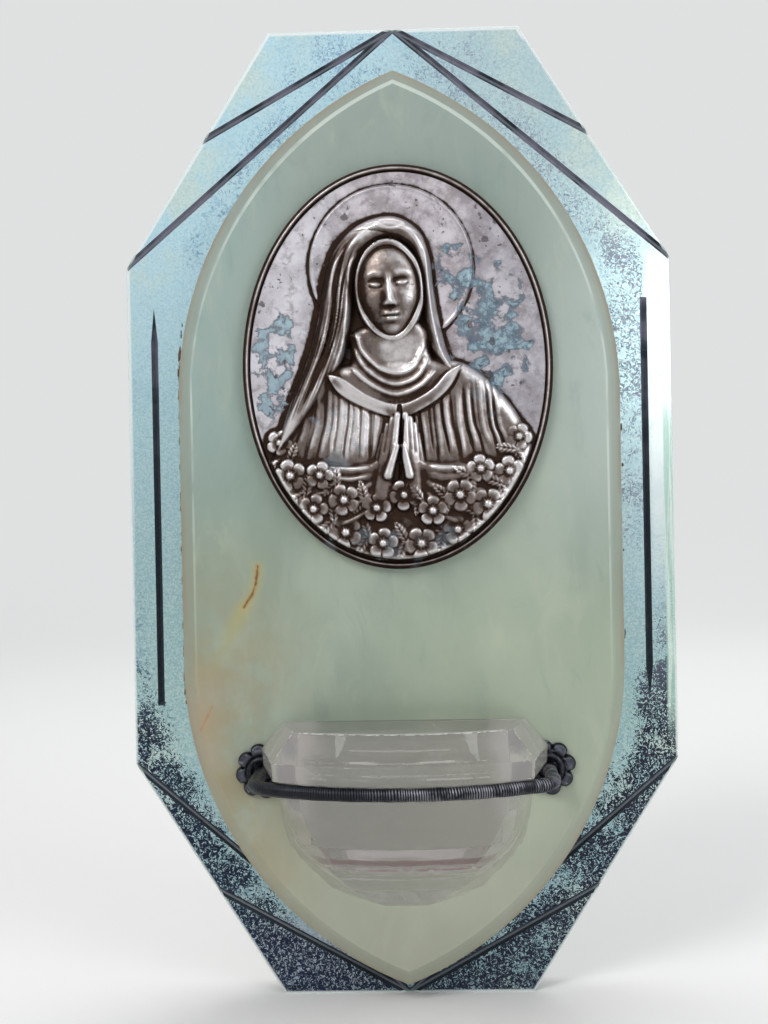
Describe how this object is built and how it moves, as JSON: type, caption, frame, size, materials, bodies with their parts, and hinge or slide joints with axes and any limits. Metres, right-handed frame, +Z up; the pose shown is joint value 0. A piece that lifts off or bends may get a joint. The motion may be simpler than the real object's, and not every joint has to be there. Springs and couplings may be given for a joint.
{
  "type": "holy water stoup",
  "caption": "Wall-hung holy water stoup: grooved octagonal mirror, pointed onyx slab, oval relief medal, and a lift-out glass cup held in a wire-wound hoop between rosettes.",
  "frame": {"origin": "centre of the felt face that lies against the wall, level with the middle of the mirror plaque", "axes": "+X to the right as seen from the room, +Y into the wall, +Z up"},
  "size_m": [0.1184, 0.0498, 0.21],
  "materials": {
    "felt_backing": "short green-grey felt",
    "backing_board": "pressed fibre board",
    "mirror_plate": "silvered glass with worn silver",
    "onyx_cement_bed": "dry cement",
    "onyx_slab": "polished green onyx",
    "medal_face": "oxidised silver plate",
    "medal_back_plate": "plain sheet",
    "medal_posts": "threaded rod",
    "medal_washers": "plain",
    "medal_nuts": "plain",
    "hoop_rod": "blackened",
    "hoop_winding": "blackened wire",
    "hoop_washers": "plain",
    "hoop_nuts": "plain",
    "rosette_left": "blackened casting",
    "rosette_right": "blackened casting",
    "holy_water_cup": "clear pressed glass",
    "hanger_strap": "plain strip",
    "hanger_rivets": "plain",
    "hanger_ring": "wire"
  },
  "bodies": {
    "plaque": {"felt_backing": "felt_backing", "backing_board": "backing_board", "mirror_plate": "mirror_plate", "onyx_cement_bed": "onyx_cement_bed", "onyx_slab": "onyx_slab", "medal_face": "medal_face", "medal_back_plate": "medal_back_plate", "medal_posts": "medal_posts", "medal_washers": "medal_washers", "medal_nuts": "medal_nuts", "hoop_rod": "hoop_rod", "hoop_winding": "hoop_winding", "hoop_washers": "hoop_washers", "hoop_nuts": "hoop_nuts", "rosette_left": "rosette_left", "rosette_right": "rosette_right", "hanger_strap": "hanger_strap", "hanger_rivets": "hanger_rivets"},
    "cup": {"holy_water_cup": "holy_water_cup"},
    "ring": {"hanger_ring": "hanger_ring"}
  },
  "joints": [
    {"name": "cup_lift", "type": "slide", "parent": "plaque", "child": "cup", "axis": [0, -0.0995, 0.995], "range_m": [0, 0.19]},
    {"name": "ring_swing", "type": "hinge", "parent": "plaque", "child": "ring", "pos_m": [0, -0.00175, 0.08585], "axis": [-1, 0, 0], "range_deg": [-10, 110]}
  ]
}
